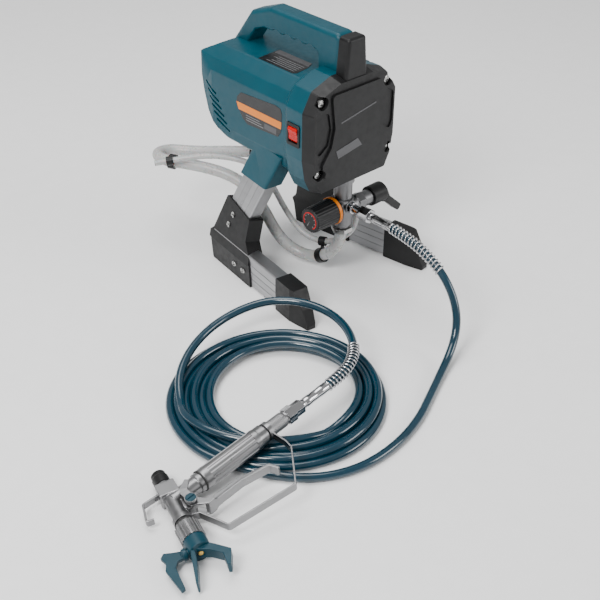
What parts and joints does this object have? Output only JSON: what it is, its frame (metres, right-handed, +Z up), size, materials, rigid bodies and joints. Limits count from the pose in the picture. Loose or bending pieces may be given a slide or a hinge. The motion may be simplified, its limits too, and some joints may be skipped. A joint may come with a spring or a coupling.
{
  "type": "airless paint sprayer",
  "caption": "Stand-mounted piston paint pump in a moulded housing with carrying handle, coiled hose and hand-held spray gun.",
  "frame": {"origin": "on the floor at the middle of the stand, under the body", "axes": "front cover faces -Y, +X to the right seen from the front, +Z up"},
  "size_m": [0.6615, 0.6482, 0.3764],
  "materials": {
    "teal_plastic": "moulded, fine texture",
    "black_plastic": "moulded, fine texture",
    "screw_steel": "bright zinc",
    "red_plastic": "gloss",
    "cast_metal": "cast, plated",
    "gear_metal": "machined",
    "motor_metal": "pressed sheet",
    "aluminium": "brushed extrusion",
    "chrome_metal": "plated",
    "orange_plastic": "gloss",
    "hose_plastic": "glossy hose cover",
    "clear_tube": "milky flexible tube",
    "gun_aluminium": "polished casting",
    "blue_plastic": "moulded",
    "brass_metal": "turned",
    "rubber_seal": "moulded"
  },
  "bodies": {
    "root": {"housing_left": "teal_plastic", "housing_right": "teal_plastic", "front_cover": "black_plastic", "screws": "screw_steel", "switch_bezel": "black_plastic", "cord_gland": "rubber_seal", "gear_case": "cast_metal", "gear_cover": "cast_metal", "bearings": "gear_metal", "motor_can": "motor_metal", "motor_stator": "motor_metal", "upper_packing": "rubber_seal", "pump_cylinder": "cast_metal", "pump_manifold": "cast_metal", "check_balls": "chrome_metal", "inlet_valve": "screw_steel", "pressure_sensor": "black_plastic", "knob_ring": "orange_plastic", "prime_valve": "cast_metal", "outlet_nipple": "chrome_metal", "hose_nuts": "chrome_metal", "hose_ferrules": "chrome_metal", "hose_springs": "chrome_metal", "hose_lead": "hose_plastic", "hose_coil": "hose_plastic", "hose_tail": "hose_plastic", "gun_swivel": "gun_aluminium", "gun_handle": "gun_aluminium", "gun_body": "gun_aluminium", "gun_cap": "black_plastic", "trigger_pin": "blue_plastic", "trigger_guard": "gun_aluminium", "gun_hook": "gun_aluminium", "guard_nut": "gun_aluminium", "suction_tube": "clear_tube", "return_tube": "clear_tube", "tube_clips": "black_plastic", "suction_strainer": "black_plastic", "floor_rail_left": "aluminium", "floor_rail_right": "aluminium", "leg_upright_left": "aluminium", "leg_upright_right": "aluminium", "elbow_bracket_left": "black_plastic", "elbow_bracket_right": "black_plastic", "foot_cap_left": "black_plastic", "foot_cap_right": "black_plastic"},
    "rocker": {"switch_rocker": "red_plastic"},
    "rotor": {"motor_rotor": "gear_metal", "cooling_fan": "black_plastic"},
    "crank": {"drive_gear": "gear_metal", "crankshaft": "gear_metal"},
    "piston": {"piston_rod": "chrome_metal", "yoke": "gear_metal"},
    "pressure_dial": {"pressure_knob": "black_plastic"},
    "prime_handle": {"prime_lever": "black_plastic"},
    "trigger": {"gun_trigger": "gun_aluminium"},
    "needle": {"gun_needle": "gear_metal"},
    "lock": {"trigger_lock": "gun_aluminium"},
    "guard": {"tip_guard": "blue_plastic"},
    "tip": {"spray_tip": "blue_plastic"}
  },
  "joints": [
    {"name": "power_rocker", "type": "hinge", "parent": "root", "child": "rocker", "pos_m": [-0.077, -0.068, 0.253], "axis": [0, 1, 0], "range_deg": [0, 14]},
    {"name": "crank_spin", "type": "hinge", "parent": "root", "child": "crank", "pos_m": [0, -0.05, 0.224], "axis": [0, 1, 0], "continuous": true},
    {"name": "rotor_spin", "type": "hinge", "parent": "root", "child": "rotor", "pos_m": [0, 0.03, 0.26], "axis": [0, 1, 0], "continuous": true},
    {"name": "piston_slide", "type": "slide", "parent": "root", "child": "piston", "axis": [0, 0, 1], "range_m": [-0.005, 0.005]},
    {"name": "pressure_turn", "type": "hinge", "parent": "root", "child": "pressure_dial", "pos_m": [-0.04, -0.084, 0.124], "axis": [-1, 0, 0], "range_deg": [0, 270]},
    {"name": "prime_turn", "type": "hinge", "parent": "root", "child": "prime_handle", "pos_m": [0.06, -0.084, 0.1195], "axis": [1, 0, 0], "range_deg": [0, 90]},
    {"name": "trigger_pull", "type": "hinge", "parent": "root", "child": "trigger", "pos_m": [-0.45673, -0.31752, 0.01604], "axis": [-0.1285, 0.0391, 0.9909], "range_deg": [0, 14], "stiffness_Nm_per_rad": 2, "springref_deg": -5.73},
    {"name": "needle_slide", "type": "slide", "parent": "root", "child": "needle", "axis": [0.2908, 0.9568, 0], "range_m": [0, 0.0027]},
    {"name": "lock_turn", "type": "hinge", "parent": "root", "child": "lock", "pos_m": [-0.45673, -0.31752, 0.01604], "axis": [-0.1285, 0.0391, 0.9909], "range_deg": [0, 60]},
    {"name": "guard_turn", "type": "hinge", "parent": "root", "child": "guard", "pos_m": [-0.48629, -0.35795, 0.0138], "axis": [-0.2908, -0.9568, 0], "range_deg": [-90, 90]},
    {"name": "tip_turn", "type": "hinge", "parent": "guard", "child": "tip", "pos_m": [-0.48949, -0.36847, 0.0138], "axis": [0.9481, -0.2882, 0.1343], "range_deg": [0, 180]}
  ],
  "couplings": [
    {"joint": "rotor_spin", "follows": "crank_spin", "ratio": -5},
    {"joint": "needle_slide", "follows": "trigger_pull", "m_per_rad": 0.0107}
  ]
}
